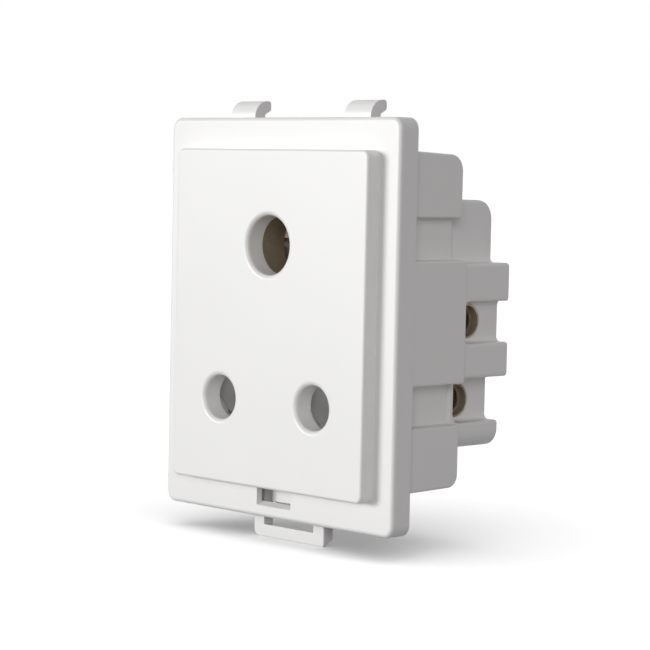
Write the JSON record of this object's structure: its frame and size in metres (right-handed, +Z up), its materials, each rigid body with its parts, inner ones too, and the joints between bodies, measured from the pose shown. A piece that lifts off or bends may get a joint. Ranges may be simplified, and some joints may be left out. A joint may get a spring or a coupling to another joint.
{
  "type": "three-pin socket",
  "caption": "Wall socket insert for three round pins: flanged cover with a raised pad, stepped housing, hooks and snap latch, shutter, sleeves and screw terminals.",
  "frame": {"origin": "centre of the flange's back plane, which lies on the grid frame's front face", "axes": "+X to the right seen from the front, +Y to the rear along the pins, +Z up towards the earth pin and the hooks"},
  "size_m": [0.0468, 0.0269, 0.0631],
  "materials": {
    "white_plastic": "satin gloss white polycarbonate",
    "brass": "dull stamped and sawn brass",
    "spring_steel": "drawn spring steel",
    "screw_steel": "zinc plated steel"
  },
  "bodies": {
    "socket": {"front_cover": "white_plastic", "rear_housing": "white_plastic", "latch_spring": "spring_steel", "shutter_spring": "spring_steel", "earth_sleeve": "brass", "line_sleeve": "brass", "neutral_sleeve": "brass", "earth_grip_ring": "spring_steel", "line_grip_ring": "spring_steel", "neutral_grip_ring": "spring_steel", "earth_terminal_block": "brass", "line_terminal_block": "brass", "neutral_terminal_block": "brass", "earth_strip": "brass", "cover_screw_upper": "screw_steel", "cover_screw_lower": "screw_steel"},
    "shutter": {"shutter": "white_plastic"},
    "latch": {"release_latch": "white_plastic"},
    "earth_screw": {"earth_terminal_screw": "screw_steel"},
    "line_screw": {"line_terminal_screw": "screw_steel"},
    "neutral_screw": {"neutral_terminal_screw": "screw_steel"}
  },
  "joints": [
    {"name": "shutter_slide", "type": "slide", "parent": "socket", "child": "shutter", "axis": [0, 0, 1], "range_m": [0, 0.0062], "stiffness_N_per_m": 60, "springref_m": -0.004, "deforming": ["shutter_spring"]},
    {"name": "latch_slide", "type": "slide", "parent": "socket", "child": "latch", "axis": [0, 0, 1], "range_m": [0, 0.0024], "stiffness_N_per_m": 400, "springref_m": -0.0015, "deforming": ["latch_spring"]},
    {"name": "earth_screw_travel", "type": "slide", "parent": "socket", "child": "earth_screw", "axis": [-1, 0, 0], "range_m": [-0.0012, 0.0024]},
    {"name": "line_screw_travel", "type": "slide", "parent": "socket", "child": "line_screw", "axis": [-1, 0, 0], "range_m": [-0.0012, 0.0024]},
    {"name": "neutral_screw_travel", "type": "slide", "parent": "socket", "child": "neutral_screw", "axis": [1, 0, 0], "range_m": [-0.0012, 0.0024]}
  ]
}
